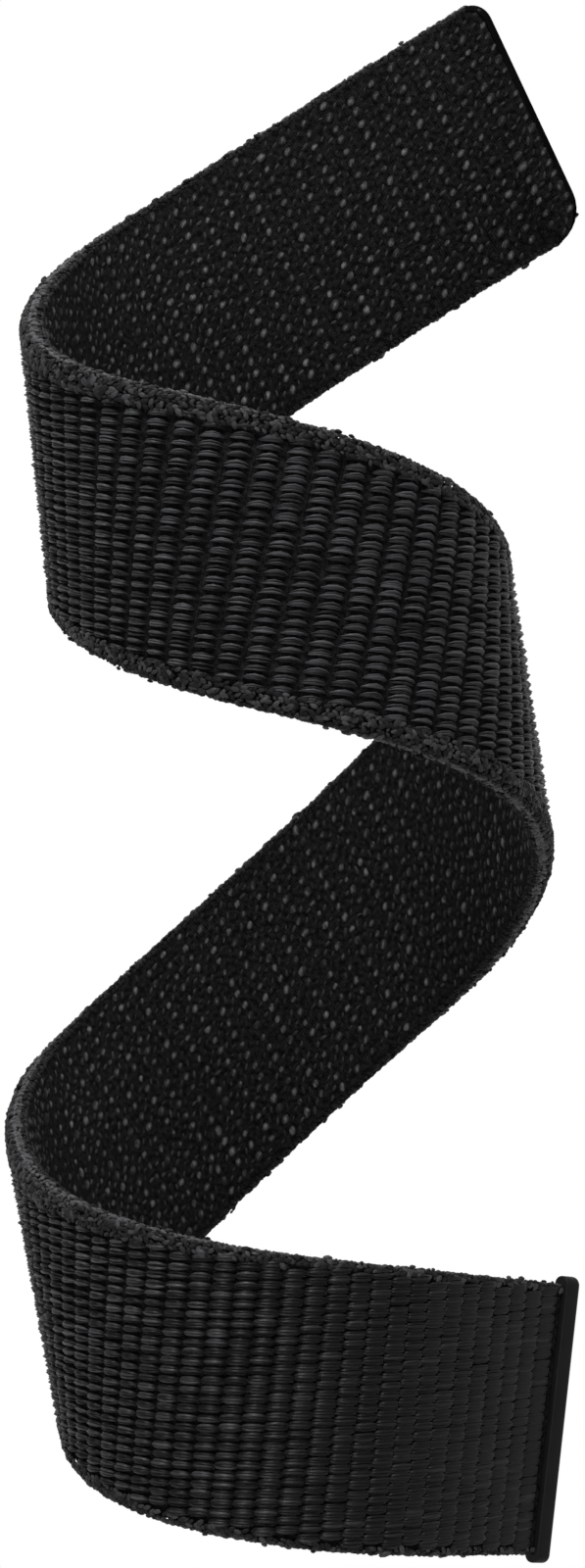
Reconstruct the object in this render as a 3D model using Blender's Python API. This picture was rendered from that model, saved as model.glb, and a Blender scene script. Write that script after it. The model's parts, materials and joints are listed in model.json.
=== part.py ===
"""A woven nylon watch strap, let go and coiled: one flat band, its stop bar and its hook patches.

The band is drawn flat first, as it would lie on a bench: X runs along it from the stop bar, Y
points out of its outer face and Z runs across it. It is then laid on its coil without stretching,
so it bends along straight lines that lean across its width. It is built in segments that meet on
such lines, and each segment turns about the line that it shares with the one before.

World frame: the origin is the middle of the stop bar's outer long face, +X points out of that
face, +Z runs up the bar and +Y points into the coil.
"""

import math

import bmesh
import bpy
import numpy as np
from mathutils import Matrix, Vector

MM = 0.001

# The band
BAND_LENGTH = 287.0 * MM
BAND_WIDTH = 22.0 * MM
BAND_THICKNESS = 2.2 * MM
SELVEDGE_RADIUS = 0.8 * MM
SEGMENTS = 20
ROWS_IN_SEGMENT = 4
BAND_COLOUR = (0.012, 0.013, 0.014)

# The band's thinned and narrowed end, held in the stop bar
ROOT_THICKNESS = 1.0 * MM
ROOT_WIDTH = 21.4 * MM
ROOT_TAPER_LENGTH = 18.0 * MM
TONGUE_THICKNESS = 0.5 * MM
TONGUE_REACH = 0.6 * MM

# The band's sealed free end
TAIL_THICKNESS = 1.2 * MM
TAIL_TAPER_LENGTH = 2.0 * MM
TAIL_CORNER_RADIUS = 2.6 * MM

# The stop bar
BAR_OVERHANG = 0.7 * MM
BAR_LENGTH = ROOT_WIDTH + 2 * BAR_OVERHANG
BAR_THICKNESS = 1.5 * MM
BAR_DEPTH = 1.6 * MM
BAR_CORNER_RADIUS = 0.7 * MM
BAR_EDGE_RADIUS = 0.4 * MM
BAR_COLOUR = (0.016, 0.016, 0.017)

# The hook patches on the outer face, one on each of the last segments
PATCHES = 3
PATCH_WIDTH = 16.0 * MM
PATCH_THICKNESS = 0.6 * MM
PATCH_MARGIN = 1.5 * MM
PATCH_CORNER_RADIUS = 1.2 * MM
PATCH_COLOUR = (0.020, 0.020, 0.022)

# The running gap between neighbours, and how far one border may bend before its faces meet
SEAM_GAP = 0.3 * MM
BEND_RELIEF = math.radians(64.0)

# The coil, in equal steps from the bar to the tail: how sharply the band bends, as shares of one
# over BEND_RADIUS, and how far its bend lines lean along the band, as shares of their height
BEND_RADIUS = 25.0 * MM
BEND_SHARES = (-0.35, 1.75, 0.5, 0.9, 1.0, 0.4, 1.05, 1.4, 0.75, 0.7, 0.55)
LEAN_SHARES = (0.0, 0.15, 0.2, 0.55, 0.95, 0.2, 0.0, 0.6, 0.95,
               0.45, 0.35, 0.55, 0.2, 0.85, 0.15, -0.15, 0.1)
PATH_STEPS = 800
RULING_ROUNDS = 14

CORNER_FACES = 5
EDGE_FACES = 2
BAR_EDGE_FACES = 3
SMOOTH_ANGLE = math.radians(35.0)
CUT_OVERRUN = 0.5 * MM


def share_at(shares, place):
    """The value at this place, 0 at the bar and 1 at the tail, between a table's even stations."""
    spot = min(max(place, 0.0), 1.0) * (len(shares) - 1)
    first = min(int(spot), len(shares) - 2)
    return shares[first] + (spot - first) * (shares[first + 1] - shares[first])


def lean_at(along):
    """How far a bend line runs along the band for each unit that it runs across it."""
    return share_at(LEAN_SHARES, along / BAND_LENGTH)


def turned(vector, axis, angle):
    """The vector turned about a unit axis by the right-hand rule."""
    across = np.cross(axis, vector)
    along = axis * np.dot(axis, vector)
    return vector * math.cos(angle) + across * math.sin(angle) + along * (1 - math.cos(angle))


def coil_path():
    """Rows of point, along, inward and across, in even steps down the band's middle line."""
    step = BAND_LENGTH / PATH_STEPS
    point = np.array((-BAR_DEPTH, 0.0, 0.0))
    along = np.array((-1.0, 0.0, 0.0))
    across = np.array((0.0, 0.0, 1.0))
    rows = []
    for index in range(PATH_STEPS + 1):
        rows.append((point, along, np.cross(along, across), across))
        place = (index + 0.5) / PATH_STEPS
        ruling = across + share_at(LEAN_SHARES, place) * along
        tilt = np.linalg.norm(ruling)
        bend = share_at(BEND_SHARES, place) * step / BEND_RADIUS * tilt
        ahead = turned(along, ruling / tilt, -bend)
        point = point + (along + ahead) * step / 2
        along, across = ahead, turned(across, ruling / tilt, -bend)
    return np.array(rows)


PATH = coil_path()


def frame_at(along):
    """Point, along, inward and across of the middle line, which runs on straight past its ends."""
    spot = along / BAND_LENGTH * PATH_STEPS
    first = min(max(int(spot), 0), PATH_STEPS - 1)
    share = min(max(spot - first, 0.0), 1.0)
    row = PATH[first] * (1 - share) + PATH[first + 1] * share
    row[1:] /= np.linalg.norm(row[1:], axis=1)[:, None]
    past = along - min(max(along, 0.0), BAND_LENGTH)
    row[0] += row[1] * past
    return row


def laid(flat):
    """Where a point of the flat band lies on the coil. Each bend line stays straight."""
    start = flat.x
    for _ in range(RULING_ROUNDS):
        start = flat.x - flat.z * lean_at(start)
    point, along, inward, across = frame_at(start)
    return Vector(point + flat.z * (across + lean_at(start) * along) - flat.y * inward)


def border_place(border):
    """Distance along the band of a border between segments, counted from 0 at the bar."""
    return BAND_LENGTH * border / SEGMENTS


def border_matrix(border):
    """World matrix on a border: origin on the middle line, Y outward, Z along the bend line."""
    place = border_place(border)
    point, along, inward, across = frame_at(place)
    up = Vector(across + lean_at(place) * along).normalized()
    out = Vector(-inward)
    matrix = Matrix((out.cross(up), out, up)).transposed().to_4x4()
    matrix.translation = Vector(point)
    return matrix


def thickness_share(along):
    """Thickness of the band here as a share of its full thickness."""
    root = ROOT_THICKNESS / BAND_THICKNESS
    tail = TAIL_THICKNESS / BAND_THICKNESS
    from_bar = min(max(along / ROOT_TAPER_LENGTH, 0.0), 1.0)
    from_tail = min(max((BAND_LENGTH - along) / TAIL_TAPER_LENGTH, 0.0), 1.0)
    return min(root + (1 - root) * from_bar, tail + (1 - tail) * from_tail)


def width_share(along):
    """Width of the band here as a share of its full width."""
    root = ROOT_WIDTH / BAND_WIDTH
    return root + (1 - root) * min(max(along / ROOT_TAPER_LENGTH, 0.0), 1.0)


def border_gap(border, height):
    """How far a segment stops short of a border at this height off mid-thickness."""
    if border in (0, SEGMENTS):
        return 0.0
    short = SEAM_GAP / 2 + abs(height) * math.tan(BEND_RELIEF / 2)
    return short * math.hypot(1, lean_at(border_place(border)))


def slid(flat, segment, length, margin=0.0):
    """Moves a point of a straight box of this length onto its own segment of the flat band."""
    share = flat.x / length
    first, last = border_place(segment), border_place(segment + 1)
    low = first + flat.z * lean_at(first) + border_gap(segment, flat.y) + margin
    high = last + flat.z * lean_at(last) - border_gap(segment + 1, flat.y) - margin
    return Vector((low + share * (high - low), flat.y, flat.z))


def straight_box(length, thickness, width):
    """A mesh of a box with its X from 0, and Y and Z about their middles."""
    mesh = bmesh.new()
    shape = Matrix.Diagonal((length, thickness, width, 1)) @ Matrix.Translation((0.5, 0, 0))
    bmesh.ops.create_cube(mesh, size=1.0, matrix=shape)
    return mesh


def round_edges(mesh, radius, faces, chosen):
    """Bevels each edge for which chosen, given its two end points, is true."""
    edges = [edge for edge in mesh.edges if chosen(*(point.co for point in edge.verts))]
    bmesh.ops.bevel(
        mesh, geom=edges, offset=radius, segments=faces, profile=0.5, affect="EDGES"
    )


def cut_rows(mesh, length, rows):
    """Cuts the box into rows along its length, and once at mid-thickness."""
    planes = [((length * row / rows, 0, 0), (1, 0, 0)) for row in range(1, rows)]
    for place, normal in planes + [((0, 0, 0), (0, 1, 0))]:
        geometry = mesh.verts[:] + mesh.edges[:] + mesh.faces[:]
        bmesh.ops.bisect_plane(mesh, geom=geometry, plane_co=place, plane_no=normal)


def band_box(segment):
    """One segment of the band, still straight, with its rounded selvedges or sealed end."""
    length = BAND_LENGTH / SEGMENTS
    mesh = straight_box(length, BAND_THICKNESS, BAND_WIDTH)
    near_end = length / 2
    if segment == SEGMENTS - 1:
        round_edges(
            mesh,
            TAIL_CORNER_RADIUS,
            CORNER_FACES,
            lambda a, b: min(a.x, b.x) > near_end and a.y * b.y < 0,
        )
        round_edges(
            mesh,
            SELVEDGE_RADIUS,
            EDGE_FACES,
            lambda a, b: max(a.x, b.x) > near_end and a.y * b.y > 0,
        )
    else:
        round_edges(
            mesh,
            SELVEDGE_RADIUS,
            EDGE_FACES,
            lambda a, b: abs(a.x - b.x) > near_end,
        )
    cut_rows(mesh, length, ROWS_IN_SEGMENT)
    for point in mesh.verts:
        along = border_place(segment) + point.co.x
        point.co.y *= thickness_share(along)
        point.co.z *= width_share(along)
        point.co = slid(point.co, segment, length)
    return mesh


def add_tongue(mesh):
    """Stands the first segment off the bar and draws its thin tongue into the bar's slot."""
    end = [face for face in mesh.faces if max(point.co.x for point in face.verts) < SEAM_GAP / 2]
    for point in {point for face in end for point in face.verts}:
        point.co.x += SEAM_GAP
    step = (ROOT_THICKNESS - TONGUE_THICKNESS) / 2
    bmesh.ops.inset_region(mesh, faces=end, thickness=step, use_even_offset=True)
    drawn = bmesh.ops.extrude_face_region(mesh, geom=end)
    points = [item for item in drawn["geom"] if isinstance(item, bmesh.types.BMVert)]
    bmesh.ops.translate(mesh, verts=points, vec=(-SEAM_GAP - TONGUE_REACH, 0, 0))
    bmesh.ops.delete(mesh, geom=end, context="FACES")


def patch_box(segment):
    """One hook patch on the outer face of a segment, between that segment's borders."""
    length = BAND_LENGTH / SEGMENTS
    mesh = straight_box(length, PATCH_THICKNESS, PATCH_WIDTH)
    round_edges(mesh, PATCH_CORNER_RADIUS, CORNER_FACES, lambda a, b: a.y * b.y < 0)
    cut_rows(mesh, length, ROWS_IN_SEGMENT)
    seat = (BAND_THICKNESS + PATCH_THICKNESS) / 2 + SEAM_GAP
    for point in mesh.verts:
        flat = Vector((point.co.x, 0, point.co.z))
        point.co = slid(flat, segment, length, PATCH_MARGIN) + Vector((0, point.co.y + seat, 0))
    return mesh


def material(name, colour, roughness):
    """A plain finish."""
    finish = bpy.data.materials.new(name)
    finish.use_nodes = True
    shader = finish.node_tree.nodes["Principled BSDF"]
    shader.inputs["Base Color"].default_value = (*colour, 1)
    shader.inputs["Roughness"].default_value = roughness
    shader.inputs["Metallic"].default_value = 0
    return finish


def add_object(name, mesh, finish, matrix, parent=None, parent_matrix=None):
    """Adds a mesh in world places as an object with its origin at the matrix, under its parent."""
    bmesh.ops.transform(mesh, matrix=matrix.inverted(), verts=mesh.verts[:])
    data = bpy.data.meshes.new(name)
    mesh.to_mesh(data)
    mesh.free()
    data.materials.append(finish)
    data.shade_smooth()
    data.set_sharp_from_angle(angle=SMOOTH_ANGLE)
    item = bpy.data.objects.new(name, data)
    bpy.context.scene.collection.objects.link(item)
    item.parent = parent
    item.matrix_basis = parent_matrix.inverted() @ matrix if parent else matrix
    return item


def lay(mesh):
    """Lays a mesh of the flat band on the coil."""
    for point in mesh.verts:
        point.co = laid(point.co)


def make_bar(finish):
    """The hard stop bar, with the slot that holds the band's thinned end."""
    mesh = straight_box(BAR_DEPTH, BAR_THICKNESS, BAR_LENGTH)
    bmesh.ops.translate(mesh, verts=mesh.verts[:], vec=(-BAR_DEPTH, 0, 0))
    round_edges(
        mesh, BAR_CORNER_RADIUS, CORNER_FACES, lambda a, b: a.x * b.x == 0 and abs(a.x - b.x) > 0
    )
    round_edges(mesh, BAR_EDGE_RADIUS, BAR_EDGE_FACES, lambda a, b: a.x == b.x == 0)
    bar = add_object("end_bar", mesh, finish, Matrix.Identity(4))
    slot_depth = TONGUE_REACH + SEAM_GAP
    tongue_width = ROOT_WIDTH - (ROOT_THICKNESS - TONGUE_THICKNESS)
    slot = straight_box(
        slot_depth + CUT_OVERRUN, TONGUE_THICKNESS + 2 * SEAM_GAP, tongue_width + 2 * SEAM_GAP
    )
    at_mouth = Matrix.Translation((-BAR_DEPTH - CUT_OVERRUN, 0, 0))
    bmesh.ops.transform(slot, matrix=at_mouth, verts=slot.verts[:])
    cutter = add_object("bar_slot_cutter", slot, finish, Matrix.Identity(4))
    cutter.hide_render = True
    cutter.display_type = "WIRE"
    cut = bar.modifiers.new("slot", "BOOLEAN")
    cut.operation = "DIFFERENCE"
    cut.object = cutter
    return bar


def make_strap():
    """The bar, then each segment of the band on the one before, then the hook patches."""
    band_finish = material("woven_nylon", BAND_COLOUR, 0.85)
    bar = make_bar(material("moulded_nylon", BAR_COLOUR, 0.45))
    patch_finish = material("hook_plastic", PATCH_COLOUR, 0.6)
    parent, parent_matrix = bar, Matrix.Identity(4)
    for segment in range(SEGMENTS):
        mesh = band_box(segment)
        if segment == 0:
            add_tongue(mesh)
        lay(mesh)
        matrix = border_matrix(segment)
        name = f"webbing_{segment + 1:02d}"
        parent = add_object(name, mesh, band_finish, matrix, parent, parent_matrix)
        parent_matrix = matrix
        patch = segment - (SEGMENTS - PATCHES)
        if patch >= 0:
            mesh = patch_box(segment)
            lay(mesh)
            add_object(f"hook_patch_{patch + 1}", mesh, patch_finish, matrix, parent, matrix)


def main():
    """Clears the scene and builds the strap."""
    for item in list(bpy.data.objects):
        bpy.data.objects.remove(item)
    make_strap()


main()
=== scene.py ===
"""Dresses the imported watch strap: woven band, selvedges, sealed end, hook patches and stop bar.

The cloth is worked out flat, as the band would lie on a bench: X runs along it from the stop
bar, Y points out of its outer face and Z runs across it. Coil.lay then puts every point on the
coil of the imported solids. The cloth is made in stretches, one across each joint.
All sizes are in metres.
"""

import json
import logging
import math
from dataclasses import dataclass, field
from enum import Enum

import bmesh
import bpy
import numpy as np
from mathutils import Euler, Matrix, Vector

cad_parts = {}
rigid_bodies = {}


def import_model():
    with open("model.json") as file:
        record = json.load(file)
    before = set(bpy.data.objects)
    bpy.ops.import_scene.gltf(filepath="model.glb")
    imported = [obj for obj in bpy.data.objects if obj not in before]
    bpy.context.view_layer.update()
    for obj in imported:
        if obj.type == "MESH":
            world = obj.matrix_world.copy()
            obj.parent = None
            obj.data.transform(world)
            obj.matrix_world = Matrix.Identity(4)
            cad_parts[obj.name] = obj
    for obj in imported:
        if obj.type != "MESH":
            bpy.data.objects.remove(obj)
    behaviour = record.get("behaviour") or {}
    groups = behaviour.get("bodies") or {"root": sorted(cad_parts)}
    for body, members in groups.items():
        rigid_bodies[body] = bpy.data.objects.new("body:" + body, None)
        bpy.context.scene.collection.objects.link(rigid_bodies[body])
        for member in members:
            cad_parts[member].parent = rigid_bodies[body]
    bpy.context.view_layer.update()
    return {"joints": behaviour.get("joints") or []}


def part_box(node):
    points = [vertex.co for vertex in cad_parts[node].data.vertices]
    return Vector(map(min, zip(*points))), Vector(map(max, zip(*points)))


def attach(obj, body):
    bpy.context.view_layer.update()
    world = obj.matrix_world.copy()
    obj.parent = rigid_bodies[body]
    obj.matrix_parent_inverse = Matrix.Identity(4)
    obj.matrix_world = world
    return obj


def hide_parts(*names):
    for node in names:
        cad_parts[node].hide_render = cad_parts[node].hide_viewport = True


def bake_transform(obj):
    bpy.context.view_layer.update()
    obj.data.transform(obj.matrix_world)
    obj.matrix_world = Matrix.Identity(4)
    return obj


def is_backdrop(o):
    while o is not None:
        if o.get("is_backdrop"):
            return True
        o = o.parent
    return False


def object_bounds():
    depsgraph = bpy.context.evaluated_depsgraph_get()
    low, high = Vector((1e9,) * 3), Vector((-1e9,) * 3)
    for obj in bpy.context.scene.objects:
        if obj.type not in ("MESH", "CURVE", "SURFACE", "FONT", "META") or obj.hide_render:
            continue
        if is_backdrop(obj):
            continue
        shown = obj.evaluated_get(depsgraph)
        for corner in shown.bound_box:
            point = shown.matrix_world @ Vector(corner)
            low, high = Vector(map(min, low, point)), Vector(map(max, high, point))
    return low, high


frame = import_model()

MM = 0.001
SHARP_ANGLE = math.radians(50.0)
WHITE = (1.0, 1.0, 1.0, 1.0)
LOG = logging.getLogger("strap")

Triple = tuple[float, float, float]
Colour = Triple


class Slot(Enum):
    """The record's material slots."""

    BAND = "band"
    BAR = "stop_bar"
    HOOKS = "hooks"


class Map(Enum):
    """The UV maps that the finishes read."""

    STRAND = "strand"
    FLAT = "flat"


# Numbers and places


def shares_at(shares: tuple[float, ...], places: np.ndarray) -> np.ndarray:
    """Reads a table of even stations, 0 at the bar and 1 at the tail, in straight lines."""
    return np.interp(places, np.linspace(0.0, 1.0, len(shares)), shares)


def eased(values: np.ndarray, low: float, high: float) -> np.ndarray:
    """Rises smoothly from 0 at low to 1 at high."""
    share = np.clip((values - low) / (high - low), 0.0, 1.0)
    return share * share * (3.0 - 2.0 * share)


def between(low: float, high: float, share: np.ndarray | float) -> np.ndarray | float:
    """The value this share of the way from low to high."""
    return low + share * (high - low)


def turned(vector: np.ndarray, axis: np.ndarray, angle: float) -> np.ndarray:
    """Turns a vector by the right-hand rule.

    Args:
        vector: The vector.
        axis: The unit axis that it turns about.
        angle: How far it turns, in radians.

    Returns:
        The turned vector.
    """
    along = axis * np.dot(axis, vector)
    across = np.cross(axis, vector)
    return vector * math.cos(angle) + across * math.sin(angle) + along * (1 - math.cos(angle))


def flat_rows(along: np.ndarray, out: np.ndarray | float, across: np.ndarray) -> np.ndarray:
    """Flat points (n, 3) of three rows of numbers, or of rows and single numbers."""
    return np.stack(np.broadcast_arrays(along, out, across), axis=1)


@dataclass
class Coil:
    """The coil that the flat band is laid on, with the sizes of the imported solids.

    The band bends along straight lines that lean along it as they cross it.
    """

    length: float = 287.0 * MM
    bar_depth: float = 1.6 * MM
    bend_radius: float = 25.0 * MM
    bend_shares: tuple[float, ...] = (
        -0.35, 1.75, 0.5, 0.9, 1.0, 0.4, 1.05, 1.4, 0.75, 0.7, 0.55
    )
    lean_shares: tuple[float, ...] = (
        0.0, 0.15, 0.2, 0.55, 0.95, 0.2, 0.0, 0.6, 0.95,
        0.45, 0.35, 0.55, 0.2, 0.85, 0.15, -0.15, 0.1,
    )
    steps: int = 800
    rounds: int = 14
    rows: np.ndarray = field(init=False, repr=False)

    def __post_init__(self) -> None:
        """Walks down the band's middle line once, and keeps its rows."""
        self.rows = self._walk()

    def lean(self, along: np.ndarray | float) -> np.ndarray:
        """How far a bend line runs along the band for each unit that it runs across it."""
        return shares_at(self.lean_shares, np.asarray(along) / self.length)

    def _walk(self) -> np.ndarray:
        """Follows the bends down the middle line.

        Returns:
            Rows of point, along, inward and across, in even steps.
        """
        step = self.length / self.steps
        point = np.array((-self.bar_depth, 0.0, 0.0))
        along = np.array((-1.0, 0.0, 0.0))
        across = np.array((0.0, 0.0, 1.0))
        rows = []
        for index in range(self.steps + 1):
            rows.append((point, along, np.cross(along, across), across))
            place = (index + 0.5) / self.steps
            ruling = across + shares_at(self.lean_shares, place) * along
            tilt = np.linalg.norm(ruling)
            bend = shares_at(self.bend_shares, place) * step / self.bend_radius * tilt
            ahead = turned(along, ruling / tilt, -bend)
            point = point + (along + ahead) * step / 2
            along, across = ahead, turned(across, ruling / tilt, -bend)
        return np.array(rows)

    def frames(self, along: np.ndarray) -> np.ndarray:
        """Frames of the middle line, which runs on straight past its ends.

        Args:
            along: Distances from the bar.

        Returns:
            An array (n, 4, 3) of point, along, inward and across.
        """
        held = np.clip(along, 0.0, self.length)
        spots = held / self.length * self.steps
        first = np.minimum(spots.astype(int), self.steps - 1)
        share = (spots - first)[:, None, None]
        rows = self.rows[first] * (1 - share) + self.rows[first + 1] * share
        rows[:, 1:] /= np.linalg.norm(rows[:, 1:], axis=2, keepdims=True)
        rows[:, 0] += rows[:, 1] * (along - held)[:, None]
        return rows

    def ruling_start(self, flat: np.ndarray) -> np.ndarray:
        """Finds the bend line through each point of the flat band.

        Args:
            flat: Points (n, 3) along, out of and across the flat band.

        Returns:
            How far down the middle line each point's bend line crosses it.
        """
        start = flat[:, 0]
        for _ in range(self.rounds):
            start = flat[:, 0] - flat[:, 2] * self.lean(start)
        return start

    def lay(self, flat: np.ndarray) -> np.ndarray:
        """Lays points of the flat band on the coil.

        Args:
            flat: Points (n, 3) along, out of and across the flat band.

        Returns:
            Their places (n, 3) in the row frame.
        """
        start = self.ruling_start(flat)
        rows = self.frames(start)
        line = rows[:, 3] + self.lean(start)[:, None] * rows[:, 1]
        return rows[:, 0] + flat[:, 2:] * line - flat[:, 1:2] * rows[:, 2]


@dataclass(frozen=True)
class Stretch:
    """The cloth across one joint, from the middle of one segment to the middle of the next."""

    number: int
    first: float
    last: float
    parent: str
    child: str
    start: Vector
    end: Vector
    nodes: tuple[str, ...]


@dataclass
class Band:
    """The flat band: its sizes, its stretches and how thick it is along its length."""

    coil: Coil
    width: float = 22.0 * MM
    thickness: float = 2.2 * MM
    root_thickness: float = 1.0 * MM
    root_width: float = 21.4 * MM
    root_taper: float = 18.0 * MM
    tail_thickness: float = 1.2 * MM
    tail_taper: float = 2.0 * MM
    tail_corners: tuple[float, float] = (3.0 * MM, 1.7 * MM)
    tail_margin: float = 0.4 * MM
    blend_share: float = 0.84
    stretches: list[Stretch] = field(init=False)

    def __post_init__(self) -> None:
        """Lists the stretches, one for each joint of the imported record."""
        joints = frame["joints"]
        count = len(joints) + 1
        segment = self.coil.length / count
        self.stretches = []
        for number, joint in enumerate(joints, start=1):
            place = segment * number
            row = self.coil.frames(np.array([place]))[0]
            lean = float(self.coil.lean(place))
            line = Vector(row[3] + lean * row[1]).normalized()
            ahead = Vector(row[1])
            ahead = (ahead - ahead.dot(line) * line).normalized()
            reach = ahead * segment / 2 / math.hypot(1, lean) * self.blend_share
            last_one = number == len(joints)
            nodes = [f"webbing_{number:02d}"] + [f"webbing_{count:02d}"] * last_one
            self.stretches.append(
                Stretch(
                    number=number,
                    first=0.0 if number == 1 else place - segment / 2,
                    last=self.coil.length if last_one else place + segment / 2,
                    parent=joint["parent"],
                    child=joint["child"],
                    start=Vector(joint["pos_m"]) - reach,
                    end=Vector(joint["pos_m"]) + reach,
                    nodes=tuple(nodes),
                )
            )

    def fullness(self, along: np.ndarray) -> np.ndarray:
        """Thickness of the band as a share of its full thickness.

        Args:
            along: Distances from the bar.

        Returns:
            The shares there, less than 1 near the bar and at the tail.
        """
        root = self.root_thickness / self.thickness
        tail = self.tail_thickness / self.thickness
        from_bar = np.clip(along / self.root_taper, 0.0, 1.0)
        from_tail = np.clip((self.coil.length - along) / self.tail_taper, 0.0, 1.0)
        return np.minimum(between(root, 1, from_bar), between(tail, 1, from_tail))

    def narrowed(self, flat: np.ndarray) -> np.ndarray:
        """Draws points in across the band where it narrows toward the bar.

        Args:
            flat: Points (n, 3) of the flat band.

        Returns:
            The points drawn in.
        """
        root = self.root_width / self.width
        share = between(root, 1, np.clip(flat[:, 0] / self.root_taper, 0.0, 1.0))
        return flat * flat_rows(np.ones(len(flat)), 1.0, share)

    def in_tail(self, places: np.ndarray) -> np.ndarray:
        """Finds what lies clear of the tail's rounded corners.

        Args:
            places: Points (n, 3) of the flat band.

        Returns:
            Which of them lie inside, as true or false.
        """
        radius = np.where(places[:, 2] < 0, *self.tail_corners)
        end = self.coil.length + self.coil.lean(self.coil.length) * places[:, 2]
        ahead = places[:, 0] - end + radius
        aside = np.maximum(np.abs(places[:, 2]) - self.width / 2 + radius, 0.0)
        return (ahead <= 0) | (np.hypot(ahead, aside) < radius - self.tail_margin)

    def inside(self, stretch: Stretch, places: np.ndarray) -> np.ndarray:
        """Finds what belongs to a stretch.

        Args:
            stretch: The stretch. The first and last ones run on past the band's ends.
            places: Points (n, 3) of the flat band.

        Returns:
            Which of them belong to it, as true or false.
        """
        start = self.coil.ruling_start(places)
        first = -math.inf if stretch is self.stretches[0] else stretch.first
        last = math.inf if stretch is self.stretches[-1] else stretch.last
        return (start >= first) & (start < last)

    def leant(
        self, points: np.ndarray, first: float, last: float, gaps: tuple[float, float] = (0.0, 0.0)
    ) -> np.ndarray:
        """Fits a straight slab between two bend lines of the flat band.

        Args:
            points: The slab's points (n, 3), X from 0 to last less first.
            first: Where the first line crosses the middle line.
            last: Where the last line crosses it.
            gaps: How far short of each line the slab stays, below zero for past it.

        Returns:
            How far along the flat band each point lies.
        """
        lean = self.coil.lean(np.array((first, last)))
        low = first + points[:, 2] * lean[0] + gaps[0]
        high = last + points[:, 2] * lean[1] - gaps[1]
        return between(low, high, points[:, 0] / (last - first))

    def add(
        self,
        name: str,
        mesh: bpy.types.Mesh,
        flat: np.ndarray,
        finish: bpy.types.Material,
        stretch: Stretch,
        slot: Slot,
        replaced: tuple[str, ...] = (),
    ) -> None:
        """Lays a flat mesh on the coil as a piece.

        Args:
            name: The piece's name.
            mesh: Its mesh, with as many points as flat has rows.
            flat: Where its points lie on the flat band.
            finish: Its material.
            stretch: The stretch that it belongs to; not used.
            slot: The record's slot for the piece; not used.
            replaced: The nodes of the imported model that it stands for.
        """
        mesh.vertices.foreach_set("co", self.coil.lay(self.narrowed(flat)).ravel())
        piece = add_piece(name, mesh, finish, replaced)
        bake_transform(piece)


# Meshes


def add_piece(
    name: str,
    mesh: bpy.types.Mesh,
    finish: bpy.types.Material,
    replaced: tuple[str, ...] = (),
) -> bpy.types.Object:
    """Makes a smooth-shaded object of a mesh whose points are in the row frame.

    Args:
        name: The piece's name.
        mesh: Its mesh.
        finish: Its material.
        replaced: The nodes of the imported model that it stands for.

    Returns:
        The object, which still rides on nothing.
    """
    mesh.materials.clear()
    mesh.materials.append(finish)
    mesh.shade_smooth()
    mesh.set_sharp_from_angle(angle=SHARP_ANGLE)
    mesh.update()
    piece = bpy.data.objects.new(name, mesh)
    bpy.context.scene.collection.objects.link(piece)
    if replaced:
        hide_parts(*replaced)
    LOG.info("%s: %d faces", name, len(mesh.polygons))
    return piece


def to_mesh(name: str, shape: bmesh.types.BMesh) -> bpy.types.Mesh:
    """Turns a bmesh into a mesh and frees it.

    Args:
        name: The mesh's name.
        shape: The bmesh.

    Returns:
        The mesh.
    """
    mesh = bpy.data.meshes.new(name)
    shape.to_mesh(mesh)
    shape.free()
    return mesh


def points_of(mesh: bpy.types.Mesh) -> np.ndarray:
    """Reads a mesh's points.

    Args:
        mesh: The mesh.

    Returns:
        Its points as an array (n, 3).
    """
    points = np.empty(len(mesh.vertices) * 3)
    mesh.vertices.foreach_get("co", points)
    return points.reshape(-1, 3)


def box(size: Triple | Vector, middle: Triple | Vector) -> bmesh.types.BMesh:
    """Starts a bmesh from a box.

    Args:
        size: Its sides.
        middle: Where its middle lies.

    Returns:
        The bmesh.
    """
    shape = bmesh.new()
    place = Matrix.Translation(middle) @ Matrix.Diagonal((*size, 1))
    bmesh.ops.create_cube(shape, size=1.0, matrix=place)
    return shape


def edges_along(shape: bmesh.types.BMesh, long: float) -> list[bmesh.types.BMEdge]:
    """The edges that run along X for more than half of a shape's length."""
    spans = [abs(edge.verts[0].co.x - edge.verts[1].co.x) for edge in shape.edges]
    return [edge for edge, span in zip(shape.edges, spans) if span > long / 2]


def edges_between(
    shape: bmesh.types.BMesh, low: float, high: float
) -> list[bmesh.types.BMEdge]:
    """The edges of a shape that lie wholly between two places on X."""
    return [edge for edge in shape.edges if all(low < point.co.x < high for point in edge.verts)]


def upright_edges(shape: bmesh.types.BMesh) -> list[bmesh.types.BMEdge]:
    """The edges that run through a flat shape from its lower face to its upper one."""
    return [edge for edge in shape.edges if edge.verts[0].co.y * edge.verts[1].co.y < 0]


def bevel(
    shape: bmesh.types.BMesh, edges: list[bmesh.types.BMEdge], radius: float, segments: int
) -> None:
    """Rounds some edges of a shape.

    Args:
        shape: The shape.
        edges: Its edges to round.
        radius: How far from each edge the round starts.
        segments: How many faces make it.
    """
    bmesh.ops.bevel(
        shape,
        geom=edges,
        offset=radius,
        segments=segments,
        profile=0.5,
        affect="EDGES",
        material=-1,
    )


def cut_rows(shape: bmesh.types.BMesh, long: float, row: float) -> None:
    """Adds loops of edges across a slab, so that it can bend.

    Args:
        shape: The slab, X from 0.
        long: Its length.
        row: The distance from one loop to the next.
    """
    for number in range(1, max(2, round(long / row))):
        geometry = shape.verts[:] + shape.edges[:] + shape.faces[:]
        bmesh.ops.bisect_plane(
            shape, geom=geometry, plane_co=(row * number, 0, 0), plane_no=(1, 0, 0)
        )


# Finishes


def new_material(name: str) -> bpy.types.Material:
    """Starts a material that has a Principled shader.

    Args:
        name: The material's name.

    Returns:
        The material.
    """
    material = bpy.data.materials.new(name)
    material.use_nodes = True
    return material


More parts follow.
